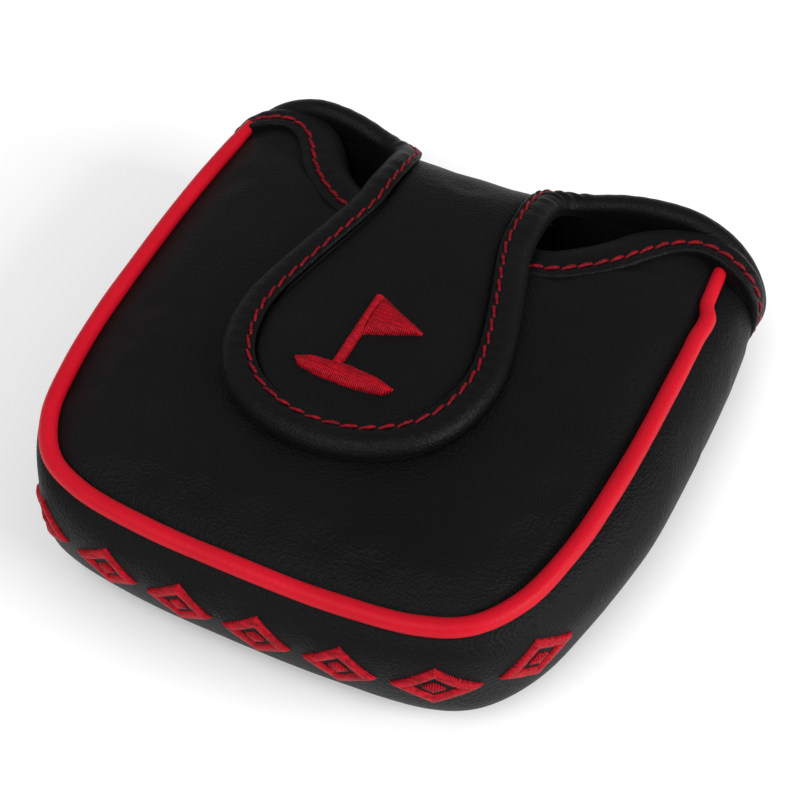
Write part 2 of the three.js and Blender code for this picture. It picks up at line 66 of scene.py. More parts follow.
SIM_SCALE = 10.0               # cloth is solved at ten times life size, to suit Blender

RAIL = [(56.3, 57), (56.8, 46), (57, 30), (56.3, 10), (54.6, -14), (52.2, -30), (48.6, -42.4),
        (42.6, -50.6), (34, -54.6), (18, -56.7), (0, -57.2)]
# Section of the band: (share of the bulge, further out, height, share of the slack at its foot).
BAND = [(0, 0.2, 27.4, 0), (0.22, 0.9, 26.4, 0), (0.62, 0.6, 24.2, 0), (1, 0, 20, 0),
        (0.98, 0, 15, 0.15), (0.8, -1, 9, 0.7), (0.55, -2.6, 4.6, 1), (0.3, -5.4, 1.9, 0.8),
        (0, -9.2, 0.7, 0)]
# Stitch line of the mouth's turned edge: (x, y, z, tilt of its face outwards in degrees).
MOUTH = [(48.6, 47.5, 4.2, 150), (56.6, 48.2, 7.6, 122), (61.4, 48.8, 14, 95),
         (62.6, 49.2, 20.5, 76), (60.6, 50.2, 25.6, 48), (56, 51.9, 28.4, 18),
         (50.4, 52.8, 29.3, 4), (45, 50.8, 29.1, 0), (40.4, 46.8, 28.8, 0),
         (35.8, 41.8, 28.6, 0), (30, 36.9, 28.5, 0), (23.5, 33, 28.5, 0), (12, 31.6, 28.5, 0),
         (0, 31.4, 28.5, 0)]
# Side view of the wall, fold and flap at the middle, outer face: (y, z).
SPINE = [(58.6, 2.3), (59.8, 8), (60.3, 14), (59.8, 20), (58.3, 25.2), (55.2, 29.8),
         (50.8, 33.6), (45.4, 35.9), (38, 36.8), (28, 36.3), (14, 35.3), (0, 35.0), (-16, 34.9),
         (-33, 34.8)]
# Outer edge of the flap: (half width, y) from the neck to the tip.
TONGUE = [(20.0, 38), (20.4, 31), (22.6, 22.5), (25.2, 13), (27.2, 4.2), (28, -2.6),
          (27.4, -9.6), (25.6, -16), (22.6, -21.3), (18.4, -25.7), (13, -29), (6.8, -31.1),
          (0, -31.7)]
# Outer edge of the wall up to the neck: (x, y, z, facing in degrees above straight back).
WALL_EDGE = [(54, 56.0, 3.0, 0), (60.4, 56.0, 5.4, 0), (64.4, 55.8, 10, 0),
             (65.6, 55.8, 16, 0), (64, 56.1, 22, 0), (60, 56.8, 27.6, 2), (54.6, 57.5, 31.6, 5),
             (47, 57.9, 34.2, 8), (38, 57.8, 34.2, 12), (30.5, 57.0, 33.0, 20),
             (24.6, 54.6, 31.6, 36), (21, 50.8, 31.8, 56), (20, 45.4, 33.7, 76)]
FLAG_POLE = [(-3.4, -8), (-1.4, -8), (-1.4, 11.8), (-3.4, 11.8)]
FLAG_CLOTH = [(-1.4, 1.2), (9.6, 5.9), (-1.4, 11.8)]
FLAG_MOUND = [(-10.5, -9.5), (-9, -11.2), (-5, -12), (0, -12.2), (5, -12), (9, -11.2),
              (10.5, -9.5), (6.5, -7.9), (0, -7.2), (-7, -7.9)]
EMBLEM_Y = -4.4

# ---------------------------------------------------------------- curves and meshes


def smooth(a, b, value):
    t = np.clip((np.asarray(value, float) - a) / (b - a), 0, 1)
    return t * t * (3 - 2 * t)


def resample(points, count):
    points = np.asarray(points, float)
    step = np.r_[0, np.cumsum(np.linalg.norm(np.diff(points[:, :3], axis=0), axis=1))]
    want = np.linspace(0, step[-1], count)
    return np.stack([np.interp(want, step, points[:, k]) for k in range(points.shape[1])], 1)


def catmull(points, count):
    """Evenly spaced points on a centripetal Catmull-Rom curve."""
    p = np.array(points, float)
    p = np.vstack([2 * p[0] - p[1], p, 2 * p[-1] - p[-2]])
    out = []
    for i in range(1, len(p) - 2):
        p0, p1, p2, p3 = p[i - 1:i + 3]
        knots = [0.0]
        for a, b in ((p0, p1), (p1, p2), (p2, p3)):
            knots.append(knots[-1] + max(np.linalg.norm((b - a)[:3]), 1e-6) ** 0.5)
        t0, t1, t2, t3 = knots
        u = np.linspace(t1, t2, 40, endpoint=False)[:, None]
        a1 = (t1 - u) / (t1 - t0) * p0 + (u - t0) / (t1 - t0) * p1
        a2 = (t2 - u) / (t2 - t1) * p1 + (u - t1) / (t2 - t1) * p2
        a3 = (t3 - u) / (t3 - t2) * p2 + (u - t2) / (t3 - t2) * p3
        b1 = (t2 - u) / (t2 - t0) * a1 + (u - t0) / (t2 - t0) * a2
        b2 = (t3 - u) / (t3 - t1) * a2 + (u - t1) / (t3 - t1) * a3
        out.append((t2 - u) / (t2 - t1) * b1 + (u - t1) / (t2 - t1) * b2)
    out.append(p[-2:-1])
    return resample(np.vstack(out), count)


def mirrored(half):
    """A left-to-right list from a right-half list that ends on the middle."""
    half = [tuple(p) for p in half]
    return [(-p[0],) + p[1:] for p in half] + half[:-1][::-1]


def lopsided(points):
    """The pouch leans a little to one side: the left rear corner sits further in."""
    points = np.array(points, float)
    left = smooth(30, 50, -points[:, 0]) * smooth(10, 26, points[:, 2])
    right = smooth(40, 60, points[:, 0])
    points[:, 0] += 3.4 * left + 0.7 * right
    return points


def unit(v):
    return v / np.maximum(np.linalg.norm(v, axis=-1, keepdims=True), 1e-9)


def tangents(points):
    return unit(np.gradient(points, axis=0))


def lumps(points, size, seed):
    """Smooth noise from -1 to 1 at each point; size is the lump size in millimetres."""
    flat = np.asarray(points, float).reshape(-1, 3) / size + seed * 17.3
    values = [noise.noise(Vector(p)) for p in flat]
    return np.array(values).reshape(np.asarray(points).shape[:-1])


def new_mesh(name, verts, faces):
    verts = np.asarray(verts, float).reshape(-1, 3) + (0, SHIFT_Y, 0)
    data = bpy.data.meshes.new(name)
    data.from_pydata((verts * MM).tolist(), [], faces)
    data.polygons.foreach_set("use_smooth", [True] * len(data.polygons))
    data.update()
    piece = bpy.data.objects.new(name, data)
    bpy.context.scene.collection.objects.link(piece)
    return piece


def grid_faces(rows, columns, wrap=False, base=0):
    faces = []
    for i in range(rows - 1):
        for j in range(columns if wrap else columns - 1):
            a = base + i * columns + j
            b = base + i * columns + (j + 1) % columns
            faces.append((a, b, b + columns, a + columns))
    return faces


def tube(name, rings):
    """A closed body from rings of points, each ring a closed section."""
    rows, columns = rings.shape[:2]
    faces = grid_faces(rows, columns, wrap=True)
    faces.append(tuple(range(columns))[::-1])
    faces.append(tuple((rows - 1) * columns + k for k in range(columns)))
    piece = new_mesh(name, rings, faces)
    return face_outwards(piece)


def face_outwards(piece):
    bm = bmesh.new()
    bm.from_mesh(piece.data)
    bmesh.ops.recalc_face_normals(bm, faces=bm.faces)
    bm.to_mesh(piece.data)
    bm.free()
    return piece


def coords(piece):
    flat = np.zeros(len(piece.data.vertices) * 3)
    piece.data.vertices.foreach_get("co", flat)
    return flat.reshape(-1, 3)


def set_coords(piece, points):
    piece.data.vertices.foreach_set("co", np.asarray(points, float).ravel())
    piece.data.update()


SEWN_ON = {}                   # finished leather that embroidery is laid on


def surface_of(piece):
    data = piece.data
    return BVHTree.FromPolygons([v.co for v in data.vertices], [f.vertices for f in data.polygons])


def laid_on(tree, point, out, search=5.0):
    """The point, in millimetres, moved along out onto the leather."""
    origin = Vector((np.asarray(point) + (0, SHIFT_Y, 0) + out * search) * MM)
    hit = tree.ray_cast(origin, Vector(-out), 2 * search * MM)[0]
    return point if hit is None else np.array(hit) / MM - (0, SHIFT_Y, 0)


def puff(piece, pinned, pressure, grow, frames=16, cap=1.2, inward=0.4, bending=0.4):
    """Solve a sewn sheet as cloth: held at its seams, cut a little large, pushed from behind."""
    rest = coords(piece)
    set_coords(piece, rest * SIM_SCALE)
    normals = np.array([v.normal for v in piece.data.vertices])
    group = piece.vertex_groups.new(name="seam")
    group.add([int(k) for k in pinned], 1.0, "REPLACE")
    cloth = piece.modifiers.new("cloth", "CLOTH")
    settings = cloth.settings
    settings.quality = 6
    settings.mass = 0.15
    settings.tension_stiffness = settings.compression_stiffness = 12
    settings.shear_stiffness = 6
    settings.bending_stiffness = bending
    settings.vertex_group_mass = "seam"
    settings.use_pressure = True
    settings.uniform_pressure_force = pressure
    settings.shrink_min = -grow
    settings.effector_weights.gravity = 0
    cloth.collision_settings.use_collision = False
    cloth.point_cache.frame_start = 1
    cloth.point_cache.frame_end = frames + 1
    scene = bpy.context.scene
    for k in range(1, frames + 1):
        scene.frame_set(k)
    solved = piece.evaluated_get(bpy.context.evaluated_depsgraph_get()).to_mesh()
    flat = np.zeros(len(solved.vertices) * 3)
    solved.vertices.foreach_get("co", flat)
    moved = flat.reshape(-1, 3) / SIM_SCALE - rest
    piece.modifiers.remove(cloth)
    piece.vertex_groups.clear()
    scene.frame_set(1)
    sink = np.minimum((moved * normals).sum(1) + inward * MM, 0)
    moved -= normals * sink[:, None]
    length = np.linalg.norm(moved, axis=1, keepdims=True)
    moved *= np.minimum(1, cap * MM / np.maximum(length, 1e-9))
    set_coords(piece, rest + moved)
    print("puffed", piece.name, "most", round(float(length.max() / MM), 2), "mm")


def finish_shell(piece, thickness, levels=1, offset=-1.0):
    """Give a sheet its thickness, so that it is closed, and refine it."""
    solid = piece.modifiers.new("thickness", "SOLIDIFY")
    solid.thickness = thickness * MM
    solid.offset = offset
    solid.use_even_offset = False
    if levels:
        fine = piece.modifiers.new("fine", "SUBSURF")
        fine.levels = fine.render_levels = levels
    bpy.context.view_layer.objects.active = piece
    graph = bpy.context.evaluated_depsgraph_get()
    done = bpy.data.meshes.new_from_object(piece.evaluated_get(graph))
    piece.modifiers.clear()
    piece.data = done
    done.polygons.foreach_set("use_smooth", [True] * len(done.polygons))
    return piece


# ---------------------------------------------------------------- materials


class Paint:
    """A small node-tree writer."""

    def __init__(self, name):
        self.material = bpy.data.materials.new(name)
        self.material.use_nodes = True
        self.tree = self.material.node_tree
        self.shader = self.tree.nodes["Principled BSDF"]
        self.place = self.tree.nodes.new("ShaderNodeTexCoord").outputs["Object"]

    def node(self, kind, **inputs):
        made = self.tree.nodes.new(kind)
        for key, value in inputs.items():
            socket = made.inputs[key.replace("_", " ")]
            if isinstance(value, bpy.types.NodeSocket):
                self.tree.links.new(value, socket)
            else:
                socket.default_value = value
        return made

    def scaled(self, x, y, z):
        return self.node("ShaderNodeMapping", Vector=self.place, Scale=(x, y, z)).outputs["Vector"]

    def noise(self, scale, detail=2.0, rough=0.5, vector=None):
        made = self.node("ShaderNodeTexNoise", Vector=vector or self.place, Scale=scale,
                         Detail=detail, Roughness=rough)
        return made.outputs["Fac"]

    def cells(self, scale, vector=None, feature="F1"):
        made = self.node("ShaderNodeTexVoronoi", Vector=vector or self.place, Scale=scale)
        made.feature = feature
        return made.outputs["Distance"]

    def ramp(self, value, stops):
        made = self.node("ShaderNodeValToRGB", Fac=value)
        ramp = made.color_ramp
        while len(ramp.elements) < len(stops):
            ramp.elements.new(0.5)
        for element, (at, colour) in zip(ramp.elements, stops):
            element.position = at
            element.color = (*colour, 1) if len(colour) == 3 else colour
        return made.outputs["Color"]

    def span(self, value, low, high):
        made = self.node("ShaderNodeMapRange", Value=value, To_Min=low, To_Max=high)
        return made.outputs["Result"]

    def math(self, kind, a, b):
        made = self.tree.nodes.new("ShaderNodeMath")
        made.operation = kind
        for socket, value in zip(made.inputs, (a, b)):
            if isinstance(value, bpy.types.NodeSocket):
                self.tree.links.new(value, socket)
            else:
                socket.default_value = value
        return made.outputs[0]

    def bump(self, height, distance, strength=1.0, normal=None):
        made = self.node("ShaderNodeBump", Height=height, Distance=distance, Strength=strength)
        if normal is not None:
            self.tree.links.new(normal, made.inputs["Normal"])
        return made.outputs["Normal"]

    def set(self, **inputs):
        for key, value in inputs.items():
            socket = self.shader.inputs[key.replace("_", " ")]
            if isinstance(value, bpy.types.NodeSocket):
                self.tree.links.new(value, socket)
            else:
                socket.default_value = value
        return self.material


def leather(name, dark, light, rough_low, rough_high, grain=1.0, gleam=0.095):
    """Synthetic leather: fine pebble grain with faint cross ribs, uneven gloss."""
    paint = Paint(name)
    broad = paint.noise(45, 3)
    tone = paint.ramp(broad, [(0.3, dark), (0.75, light)])
    pebble = paint.cells(1700)
    fine = paint.noise(2600, 3, 0.6)
    ribs = paint.noise(1.0, 2, 0.5, vector=paint.scaled(260, 1500, 1500))
    height = paint.math("ADD", paint.math("MULTIPLY", pebble, 0.55),
                        paint.math("ADD", paint.math("MULTIPLY", fine, 0.35),
                                   paint.math("MULTIPLY", ribs, 0.3)))
    soft = paint.bump(paint.noise(120, 3), 0.0004, 0.1)
    normal = paint.bump(height, 0.00024 * grain, 1.0, soft)
    gloss = paint.span(paint.math("ADD", paint.math("MULTIPLY", broad, 0.6),
                                  paint.math("MULTIPLY", pebble, 0.4)), rough_low, rough_high)
    return paint.set(Base_Color=tone, Roughness=gloss, Normal=normal, Specular_IOR_Level=gleam,
                     Sheen_Weight=0.01, Sheen_Roughness=0.5)


def plush(name, dark, light):
    paint = Paint(name)
    pile = paint.noise(1900, 4, 0.7)
    tone = paint.ramp(pile, [(0.3, dark), (0.8, light)])
    normal = paint.bump(pile, 0.0006, 0.9, paint.bump(paint.noise(260, 3), 0.001, 0.5))
    return paint.set(Base_Color=tone, Roughness=0.95, Normal=normal, Sheen_Weight=0.01,
                     Sheen_Roughness=0.4, Specular_IOR_Level=0.06)


def thread(name, dark, light, twist):
    paint = Paint(name)
    fibre = paint.noise(1.0, 3, 0.6, vector=paint.scaled(2600, 2600, 2600))
    ply = paint.noise(1.0, 1, 0.5, vector=paint.scaled(900 * twist, 2600, 1500))
    tone = paint.ramp(paint.math("MULTIPLY", fibre, ply), [(0.12, dark), (0.42, light)])
    normal = paint.bump(fibre, 0.00012, 0.8)
    return paint.set(Base_Color=tone, Roughness=paint.span(fibre, 0.36, 0.6), Normal=normal,
                     Specular_IOR_Level=0.12, Sheen_Weight=0.01, Sheen_Roughness=0.4)


BLACK = leather("black_leather", (0.0018, 0.0018, 0.0020), (0.0032, 0.0031, 0.0034), 0.40, 0.60)
EDGE_BLACK = leather("black_binding", (0.0019, 0.0019, 0.0021), (0.0034, 0.0033, 0.0036), 0.36,
                     0.54, 0.7)
RED_PIPE = leather("red_piping", (0.44, 0.002, 0.011), (0.54, 0.004, 0.017), 0.40, 0.52, 0.35,
                   gleam=0.11)
PLUSH = plush("black_plush", (0.0008, 0.0008, 0.0009), (0.0034, 0.0034, 0.0036))
SEAM_THREAD = thread("red_thread", (0.05, 0.001, 0.003), (0.30, 0.002, 0.012), 1.0)
SATIN = thread("red_satin", (0.16, 0.001, 0.005), (0.52, 0.002, 0.014), 0.4)


def simple(name, colour, rough, metal=0.0, grain=900):
    paint = Paint(name)
    speck = paint.noise(grain, 3)
    low = tuple(c * 0.82 for c in colour)
    return paint.set(Base_Color=paint.ramp(speck, [(0.3, low), (0.7, colour)]),
                     Roughness=paint.span(speck, rough * 0.85, min(rough * 1.15, 1)),
                     Metallic=metal, Normal=paint.bump(speck, 0.0003, 0.5))


FOAM = simple("foam_padding", (0.03, 0.03, 0.032), 0.9, grain=700)
STEEL = simple("magnet_plating", (0.6, 0.61, 0.63), 0.3, 1.0, grain=300)
CORE = simple("piping_core", (0.7, 0.67, 0.6), 0.85, grain=1500)


def dress(piece, material, body=None, replaces=()):
    piece.data.materials.clear()
    piece.data.materials.append(material)
    if replaces:
        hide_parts(*replaces)
    if body:
        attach(piece, body)
    return piece


# ---------------------------------------------------------------- the seam line and the band

rail = catmull([(x, y, 0) for x, y in mirrored(RAIL)], 700)
rail_t = tangents(rail)
rail_out = np.stack([rail_t[:, 1], -rail_t[:, 0], np.zeros(len(rail))], 1)
rail_s = np.r_[0, np.cumsum(np.linalg.norm(np.diff(rail, axis=0), axis=1))]
RAIL_LONG = rail_s[-1]


def on_rail(s):
    """Place and outward direction at distance s along the seam."""
    p = np.stack([np.interp(s, rail_s, rail[:, k]) for k in range(3)], -1)
    n = np.stack([np.interp(s, rail_s, rail_out[:, k]) for k in range(3)], -1)
    return p, unit(n)


def bulge(y):
    return BULGE_FRONT + (BULGE_SIDE - BULGE_FRONT) * smooth(-52, -6, y)


def band_curve(x, y, count=41):
    b = float(bulge(y) - 1.3 * smooth(0, 20, -x) * smooth(-30, -5, y))
    corner = float(np.exp(-((abs(x) - 47) / 13) ** 2) * smooth(-16, -40, y))
    slack = 1.0 + (2.1 if x > 0 else 1.9) * corner
    points = [(share * b + extra + slack * foot, z, 0) for share, extra, z, foot in BAND]
    return catmull(points, count)[:, :2]


BAND_END = 7.5
BAND_ROWS, BAND_COLS = 190, 30


def band_relief(s, w, x, y):
    """Height of folds and pulls on the band, by place along it and down it, in millimetres."""
    left_corner = smooth(-38, -50, x) * smooth(-8, -28, y)
    fold = (-2.2 * np.exp(-((w - 9) / 5.0) ** 2) - 3.2 * np.exp(-((w - 20) / 5.5) ** 2)
            - 1.8 * np.exp(-((w - 14.2) / 2.0) ** 2))
    tuck = 1 - smooth(0, 4, np.minimum(s - BAND_END, RAIL_LONG - BAND_END - s))
    left_side = smooth(-38, -50, x) * smooth(24, 4, y) * (1 - left_corner)
    pull = -1.3 * left_side * np.exp(-((w - 8) / 6.0) ** 2)
    return left_corner * fold + pull - 0.35 * tuck


def band_point(s, w, lift=0.0):
    """A point on the band: along the seam, down the band, off the leather."""
    p, n = on_rail(s)
    curve = band_curve(p[0], p[1])
    t = unit(np.gradient(curve, axis=0))
    down = np.r_[0, np.cumsum(np.linalg.norm(np.diff(curve, axis=0), axis=1))]
    u = np.interp(w, down, curve[:, 0])
    z = np.interp(w, down, curve[:, 1])
    tu = np.interp(w, down, t[:, 0])
    tz = np.interp(w, down, t[:, 1])
    lift = lift + band_relief(s, w, p[0], p[1])
    u, z = u - tz * lift, z + tu * lift
    return np.array([p[0] + n[0] * u, p[1] + n[1] * u, z])


def build_band():
    s = np.linspace(BAND_END, RAIL_LONG - BAND_END, BAND_ROWS)
    grid = np.zeros((BAND_ROWS, BAND_COLS, 3))
    for i, at in enumerate(s):
        p, _ = on_rail(at)
        curve = band_curve(p[0], p[1])
        long = np.linalg.norm(np.diff(curve, axis=0), axis=1).sum()
        for j, w in enumerate(np.linspace(0, long, BAND_COLS)):
            grid[i, j] = band_point(at, w)
    piece = face_outwards(new_mesh("side_band_skin", grid, grid_faces(BAND_ROWS, BAND_COLS)))
    middle = piece.data.polygons[(BAND_ROWS // 2) * (BAND_COLS - 1) + 10]
    if middle.normal.y > 0:
        piece.data.flip_normals()
    index = np.arange(BAND_ROWS * BAND_COLS).reshape(BAND_ROWS, BAND_COLS)
    pinned = set(index[:, 0]) | set(index[:, -1]) | set(index[0]) | set(index[-1])
    puff(piece, pinned, pressure=1.0, grow=0.006, cap=0.6, inward=0.2, bending=3)
    finish_shell(piece, LEATHER, 1)
    SEWN_ON["band"] = surface_of(piece)
    dress(piece, BLACK, "pouch", ["side_band", "side_band_foam"])
    return piece


# ---------------------------------------------------------------- the top panel


def coons(bottom, top, left, right):
    """A grid spanned by four edge curves: bottom and top run left to right."""
    m, n = len(left), len(bottom)
    u = np.linspace(0, 1, n)[None, :, None]
    v = np.linspace(0, 1, m)[:, None, None]
    ruled = (1 - v) * bottom[None] + v * top[None] + (1 - u) * left[:, None] + u * right[:, None]
    corner = ((1 - u) * (1 - v) * bottom[0] + u * (1 - v) * bottom[-1]
              + (1 - u) * v * top[0] + u * v * top[-1])
    return ruled - corner


mouth_line = catmull(lopsided(mirrored(MOUTH)), 500)
mouth_p = mouth_line[:, :3]
mouth_tilt = np.radians(mouth_line[:, 3])
mouth_t = tangents(mouth_p)
mouth_face = np.stack([np.sign(mouth_p[:, 0]) * np.sin(mouth_tilt), np.zeros(len(mouth_p)),
                       np.cos(mouth_tilt)], 1)
mouth_side = unit(np.cross(mouth_face, mouth_t))
mouth_up = unit(np.cross(mouth_t, mouth_side))


def build_top():
    inset = 0.9
    line = rail - rail_out * inset
    line[:, 2] = 27.5
    corner = np.argmin(np.abs(rail[:, 0] + 46.5) + (rail[:, 1] > 0) * 99)
    last = len(line) - 1 - corner
    start = np.argmax(rail[:, 1] < 51)
    size = 58
    left = resample(line[start:corner + 1][::-1], size)
    right = resample(line[last:len(line) - start], size)
    front = resample(line[corner:last + 1], size)
    lip = mouth_p[np.abs(mouth_p[:, 0]) < 52.6]
    lip = lip[lip[:, 2] > 26.5] - (0, 0.4, 0)
    rear = np.vstack([left[-1], lip, right[-1]])
    rear = resample(rear, size)
    grid = coons(front, rear, left, right)
    flat = grid.reshape(-1, 3)
    seam = line[start:len(line) - start, :2]
    away = np.array([np.sqrt(((seam - p[:2]) ** 2).sum(1).min()) for p in flat])
    rise = 3.0 * (1 - np.exp(-(away / 3.4) ** 1.25))
    flat[:, 2] = 27.5 + rise
    piece = new_mesh("top_panel_skin", flat, grid_faces(size, size))
    if piece.data.polygons[size * size // 2].normal.z < 0:
        piece.data.flip_normals()
    index = np.arange(size * size).reshape(size, size)
    pinned = set(index[0]) | set(index[-1]) | set(index[:, 0]) | set(index[:, -1])
    puff(piece, pinned, pressure=0.8, grow=0.006, cap=0.6, inward=0.3, bending=1)
    finish_shell(piece, LEATHER, 1)
    dress(piece, BLACK, "pouch", ["top_panel"])
    return piece


# ---------------------------------------------------------------- rolled bindings


def binding_section(outer, inner, thick, stitch, crown):
    """Section of a turned edge: u runs in from the edge, h up from the middle. Closed, smooth."""
    half = thick / 2
    points = [
        (outer, half - 0.35), (outer - 0.05, half + 0.45), (outer - 0.55, half + 0.62),
        (stitch + 0.35, half + 0.42), (stitch, half + 0.28), (stitch - 0.4, half + 0.5),
        (stitch - 1.5, half + crown), (stitch * 0.5, half + crown * 0.9),
        (stitch * 0.26, half + crown * 0.25), (0.35, half * 0.55), (0.0, 0.0),
        (0.3, -half * 0.6), (1.3, -half - 0.1), (inner * 0.45, -half - 0.35),
        (inner - 0.7, -half - 0.3), (inner, -half + 0.1), (inner - 0.3, -half + 0.7),
        (outer * 0.6, 0.0)]
    ring = points + points[:3]
    fine = catmull([(u, h, 0) for u, h in ring], 400)[:, :2]
    first = np.argmin(((fine[:150] - points[0]) ** 2).sum(1))
    again = 200 + np.argmin(((fine[200:] - points[0]) ** 2).sum(1))
    loop = resample(np.c_[fine[first:again + 1], np.zeros(again + 1 - first)], 45)[:-1, :2]
    return loop


def sweep_binding(name, path, side, up, sections, stitch, seed, pucker=0.16, ripple=0.07,
                  pleats=()):
    """Carry binding sections along an edge, drawn in at each stitch and pleated at corners."""
    long = np.r_[0, np.cumsum(np.linalg.norm(np.diff(path, axis=0), axis=1))]
    rings = np.zeros((len(path), sections.shape[-2], 3))
    jitter = lumps(np.c_[long, long * 0, long * 0], 5.5, seed)
    slow = lumps(np.c_[long, long * 0, long * 0], 17.0, seed + 3)
    for i, (p, s_dir, u_dir) in enumerate(zip(path, side, up)):
        section = sections[i] if sections.ndim == 3 else sections
        above = section[:, 1] > 0
        near = np.exp(-((section[:, 0] - stitch) / 1.7) ** 2) * above
        roll = np.exp(-((section[:, 0] - stitch * 0.45) / 1.9) ** 2) * above
        wave = math.cos(2 * math.pi * long[i] / PITCH)
        height = (section[:, 1] - near * pucker * (0.5 - 0.5 * wave)
                  + roll * ripple * (wave * 0.6 + jitter[i] * 1.4))
        height = height * (1 + 0.05 * slow[i])
        for centre, reach, width, deep in pleats:
            fade = math.exp(-((long[i] - centre) / reach) ** 2)
            lean = (long[i] - centre) + 0.35 * (section[:, 0] - 2)
            height = height - above * fade * deep * np.cos(2 * math.pi * lean / width)
        rings[i] = p + np.outer(section[:, 0], s_dir) + np.outer(height, u_dir)
    return tube(name, rings)


def stitch_row(name, line, up, pitch=PITCH, radius=0.35, slant=0.3):
    """Separate stitches along a line: each dives into the leather at both ends."""
    long = np.r_[0, np.cumsum(np.linalg.norm(np.diff(line, axis=0), axis=1))]
    along = tangents(line)
    verts, faces = [], []
    sides, steps = 10, 11
    total = int(long[-1] // pitch)
    margin = (long[-1] - total * pitch) / 2
    for k in range(total):
        base = len(verts)
        wander = noise.noise(Vector((k * 3.7, pitch, 0.5)))
        for i in range(steps):
            t = i / (steps - 1)
            at = margin + (k - 0.01 + 1.02 * t) * pitch
            p = np.array([np.interp(at, long, line[:, c]) for c in range(3)])
            a = unit(np.array([np.interp(at, long, along[:, c]) for c in range(3)]))
            u = unit(np.array([np.interp(at, long, up[:, c]) for c in range(3)]))
            s = np.cross(u, a)
            arch = math.sin(math.pi * t)
            p = p + u * (-0.34 + 0.46 * arch ** 0.4) + s * ((t - 0.5) * 2 * slant + wander * 0.08)
            r = radius * (0.5 + 0.5 * arch ** 0.3)
            for q in range(sides):
                angle = 2 * math.pi * q / sides + t * 4.2
                ply = 1 + 0.13 * math.cos(2 * angle)
                angle -= t * 4.2
                verts.append(p + s * math.cos(angle) * r * ply
                             + u * math.sin(angle) * r * ply * 0.85)
        faces += grid_faces(steps, sides, wrap=True, base=base)
        faces.append(tuple(base + q for q in range(sides))[::-1])
        faces.append(tuple(base + (steps - 1) * sides + q for q in range(sides)))
    return face_outwards(new_mesh(name, np.array(verts), faces))


MOUTH_STITCH = 4.4
# Section of the mouth's edge: in from the rear, up from the middle. Its back hangs into the mouth.
MOUTH_SECTION = [(7.0, 1.9), (6.95, 2.6), (6.5, 2.8), (4.8, 2.6), (4.4, 2.45), (4.0, 2.65),
                 (2.8, 2.95), (1.6, 2.7), (0.6, 1.9), (-0.1, 0.4), (-0.6, -2.0), (-0.7, -4.6),
                 (-0.2, -7.4), (0.8, -8.0), (1.5, -7.0), (1.8, -4.4), (2.8, -2.5), (4.8, -2.2),
                 (6.6, -1.7), (7.1, -0.6), (6.9, 0.6)]


def closed_section(points, count=44):
    ring = list(points) + list(points[:3])
    fine = catmull([(u, h, 0) for u, h in ring], 600)[:, :2]
    first = np.argmin(((fine[:200] - points[0]) ** 2).sum(1))
    again = 300 + np.argmin(((fine[300:] - points[0]) ** 2).sum(1))
    return resample(np.c_[fine[first:again + 1], np.zeros(again + 1 - first)], count + 1)[:-1, :2]


def build_mouth():
    keep = slice(4, -4)
    middle = len(mouth_p) // 2
    forward = mouth_side * (1.0 if mouth_side[middle] @ np.array((0, 1, 0)) < 0 else -1.0)
    edge = mouth_p - forward * MOUTH_STITCH
    wide = 1 + 0.55 * (1 - smooth(40, 50, np.abs(mouth_p[:, 0]))) * smooth(22, 27, mouth_p[:, 2])
    sections = np.repeat(closed_section(MOUTH_SECTION)[None], len(mouth_p), 0)
    behind = np.minimum(sections[..., 0] - MOUTH_STITCH, 0)
    sections[..., 0] += behind * (wide[:, None] - 1)
    piece = sweep_binding("mouth_binding_roll", edge[keep], forward[keep], mouth_up[keep],
                          sections[keep], MOUTH_STITCH, 1)
    dress(piece, EDGE_BLACK, "pouch", ["mouth_binding"])
    line = mouth_p + mouth_up * 2.62
    row = stitch_row("mouth_stitches", line[16:-16], mouth_up[16:-16], radius=0.4)
    dress(row, SEAM_THREAD, "pouch", ["mouth_topstitch"])


# ---------------------------------------------------------------- piping


def build_piping():
    s = np.linspace(6.5, RAIL_LONG - 1.6, 420)
    p, n = on_rail(s)
    z = np.full(len(s), RAIL_Z)
    radius = np.full(len(s), PIPING_R)
    end = np.minimum(s - s[0], s[-1] - s)
    radius *= 0.78 + 0.22 * smooth(0, 9, end)
    radius *= 1 + 0.035 * lumps(np.c_[s, s * 0, s * 0], 9, 5)
    kink = smooth(RAIL_LONG - 22, RAIL_LONG - 17, s)
    drift = -0.9 * kink + 0.45 * smooth(RAIL_LONG - 28, RAIL_LONG - 23, s) * (1 - kink)
    radius *= 1 - 0.16 * kink
    p = p + n * (drift + 0.18 * lumps(np.c_[s, s * 0, s * 0], 21, 8))[:, None]
    z = z + 0.15 * lumps(np.c_[s, s * 0, s * 0], 16, 9)
    rings = np.zeros((len(s), 20, 3))
    for q in range(20):
        angle = 2 * math.pi * q / 20
        rings[:, q] = p + n * (radius * math.cos(angle))[:, None]
        rings[:, q, 2] = z + radius * math.sin(angle)
    piece = tube("piping_roll", rings)
    dress(piece, RED_PIPE, "pouch", ["piping_cover", "piping_cord"])


# ---------------------------------------------------------------- rear wall and flap, one T panel

spine = catmull([(0, y, z) for y, z in SPINE], 900)
spine_t = tangents(spine)
spine_n = np.stack([spine_t[:, 0] * 0, spine_t[:, 2], -spine_t[:, 1]], 1)
if spine_n[600, 2] < 0:
    spine_n = -spine_n


def tongue_point(x, y, depth=0.0):
    """The flap's outer face over the plan point (x, y), or depth below it, ahead of y = 44."""
    k = len(spine) - 1 - np.searchsorted(spine[::-1][:700, 1], y)
    k = int(np.clip(k, 0, len(spine) - 1))
    p = spine[k] - spine_n[k] * depth
    return np.array([x, p[1], p[2]])


